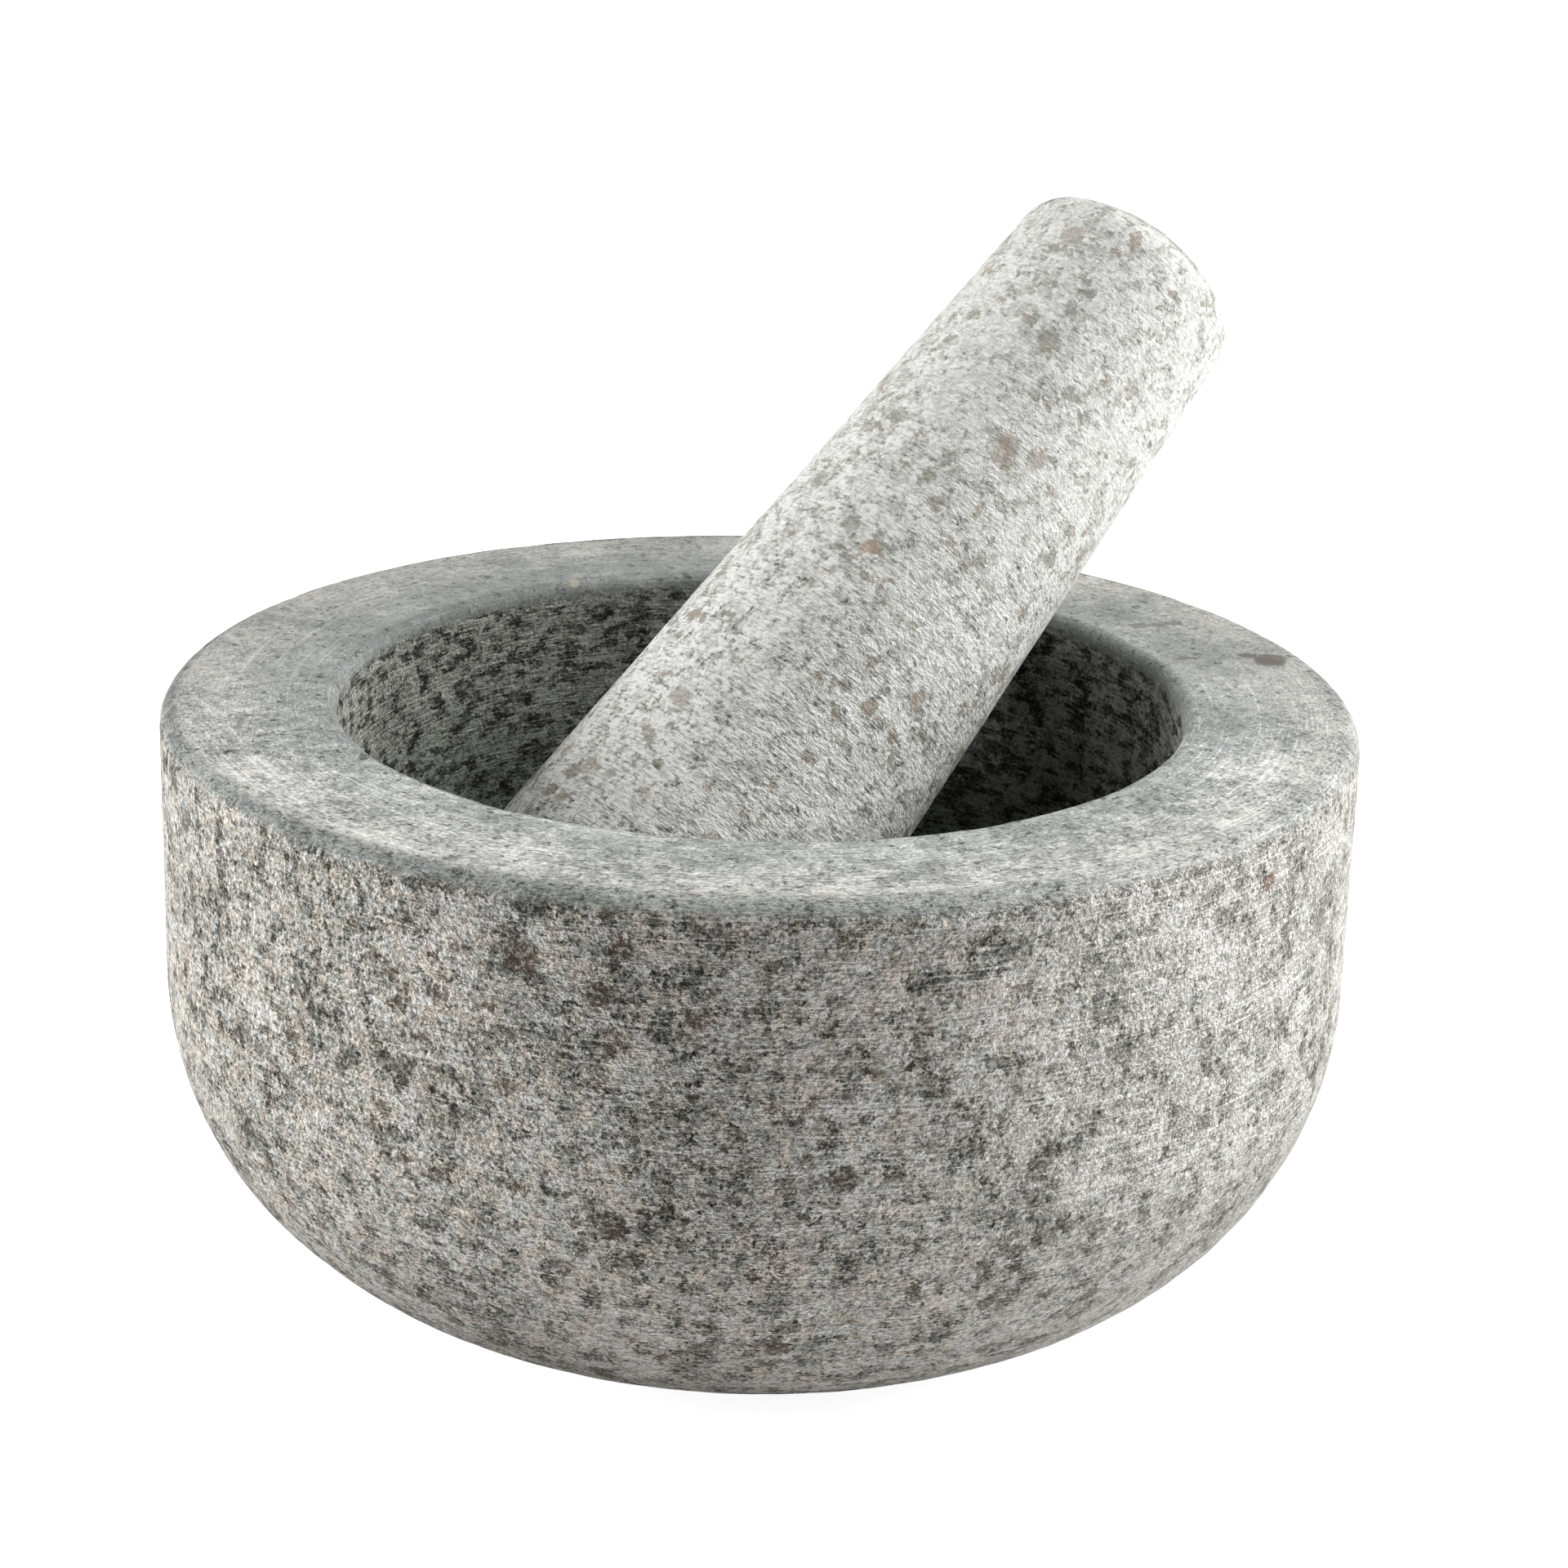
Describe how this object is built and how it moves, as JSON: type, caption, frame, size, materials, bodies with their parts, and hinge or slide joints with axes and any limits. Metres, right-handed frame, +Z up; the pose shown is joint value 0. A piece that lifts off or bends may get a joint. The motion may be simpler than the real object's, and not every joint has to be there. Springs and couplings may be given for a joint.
{
  "type": "mortar and pestle",
  "caption": "Squat round-bottomed granite bowl with a broad flat rim, and a tapered ball-ended stone pestle that leans in it and lifts out, for crushing and grinding food.",
  "frame": {"origin": "centre of the flat base that the mortar stands on", "axes": "+Z up along the mortar's own axis; -Y towards the viewer of the picture, +X to the viewer's right; the pestle leans up towards +X and +Y"},
  "size_m": [0.18, 0.18, 0.1554],
  "materials": {
    "mortar_granite": "turned and left unpolished, honed on the rim, rough to the touch",
    "pestle_granite": "turned and left unpolished, a little paler than the mortar"
  },
  "bodies": {
    "mortar": {"mortar": "mortar_granite"},
    "pestle": {"pestle": "pestle_granite"}
  },
  "joints": [
    {"name": "pestle_lift", "type": "slide", "parent": "mortar", "child": "pestle", "axis": [0, 0, 1], "range_m": [0, 0.1]}
  ]
}
